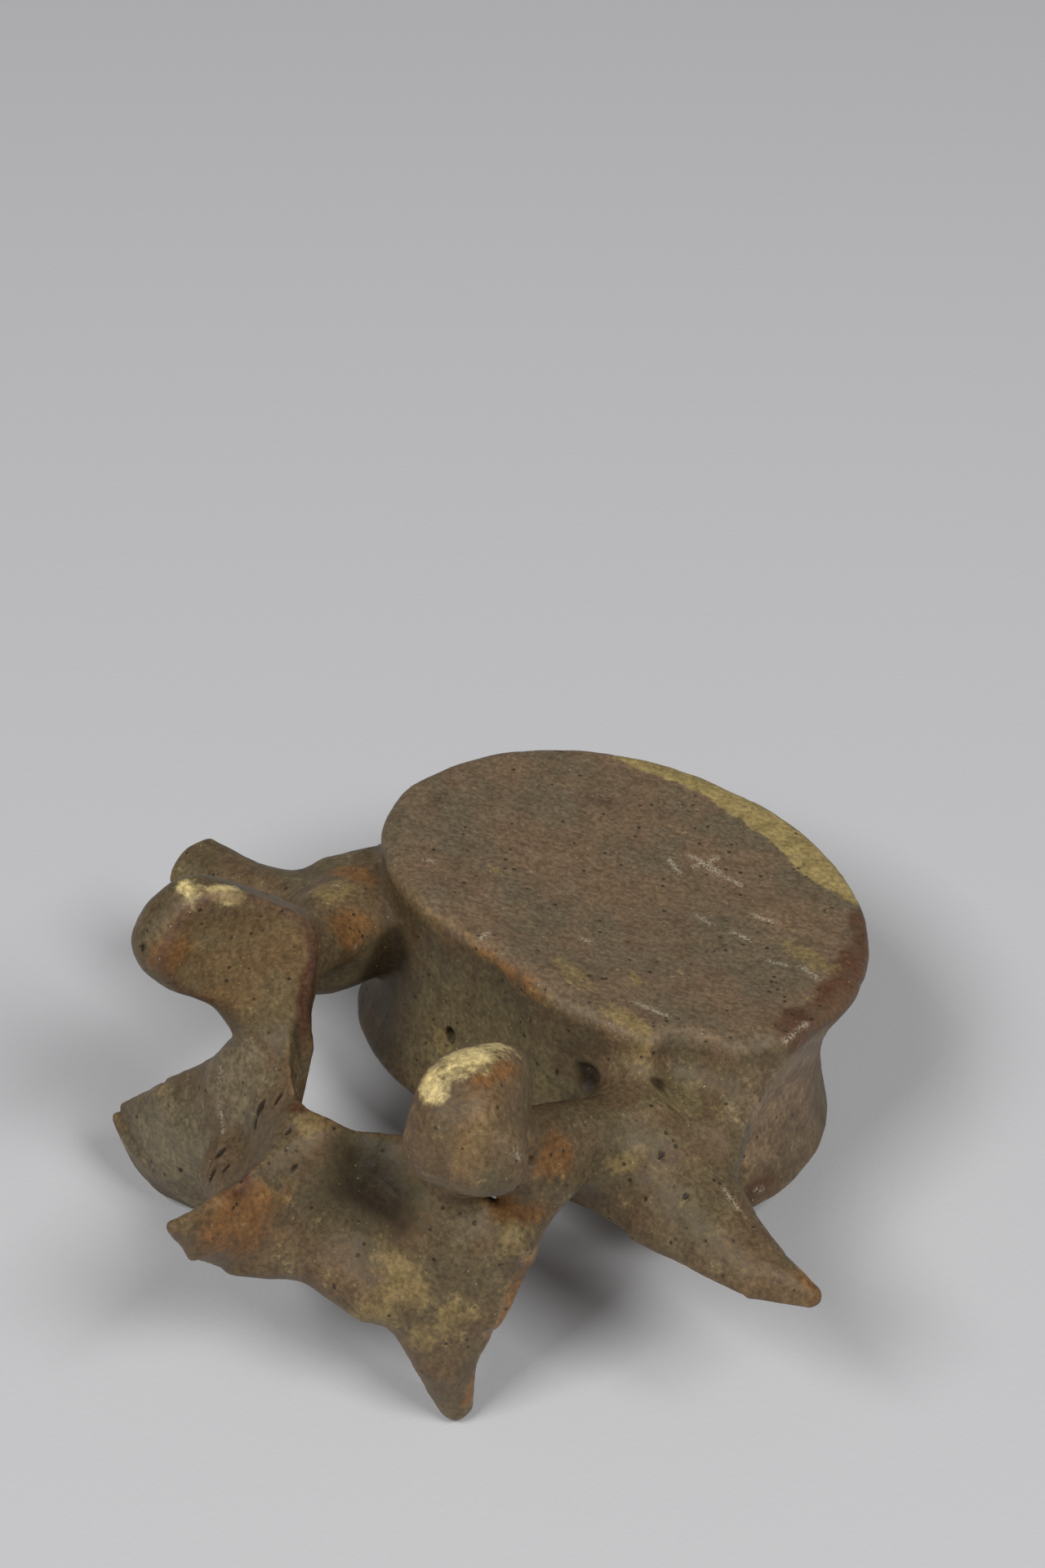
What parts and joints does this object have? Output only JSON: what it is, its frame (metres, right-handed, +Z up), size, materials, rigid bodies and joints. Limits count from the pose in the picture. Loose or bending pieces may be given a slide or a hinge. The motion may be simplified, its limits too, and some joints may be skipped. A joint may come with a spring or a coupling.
{
  "type": "human lumbar vertebra",
  "caption": "Dry human lower lumbar vertebra lying on its front lower rim and its lower facets, with a broad oval body, an open arch and pointed processes.",
  "frame": {"origin": "middle of the bounding box at the level the bone rests on", "axes": "+X to the bone's right side, +Y to the front of its body, +Z up; the bone's upper endplate faces up and leans about 12 degrees forward"},
  "size_m": [0.0832, 0.0828, 0.0462],
  "materials": {
    "bone": "satin, brown stained dry bone"
  },
  "bodies": {
    "root": {"centrum": "bone", "spinous_process": "bone", "pedicle_right": "bone", "pedicle_left": "bone", "superior_articular_process_right": "bone", "superior_articular_process_left": "bone", "transverse_process_right": "bone", "transverse_process_left": "bone", "lamina_right": "bone", "lamina_left": "bone", "inferior_articular_process_right": "bone", "inferior_articular_process_left": "bone"}
  },
  "joints": []
}
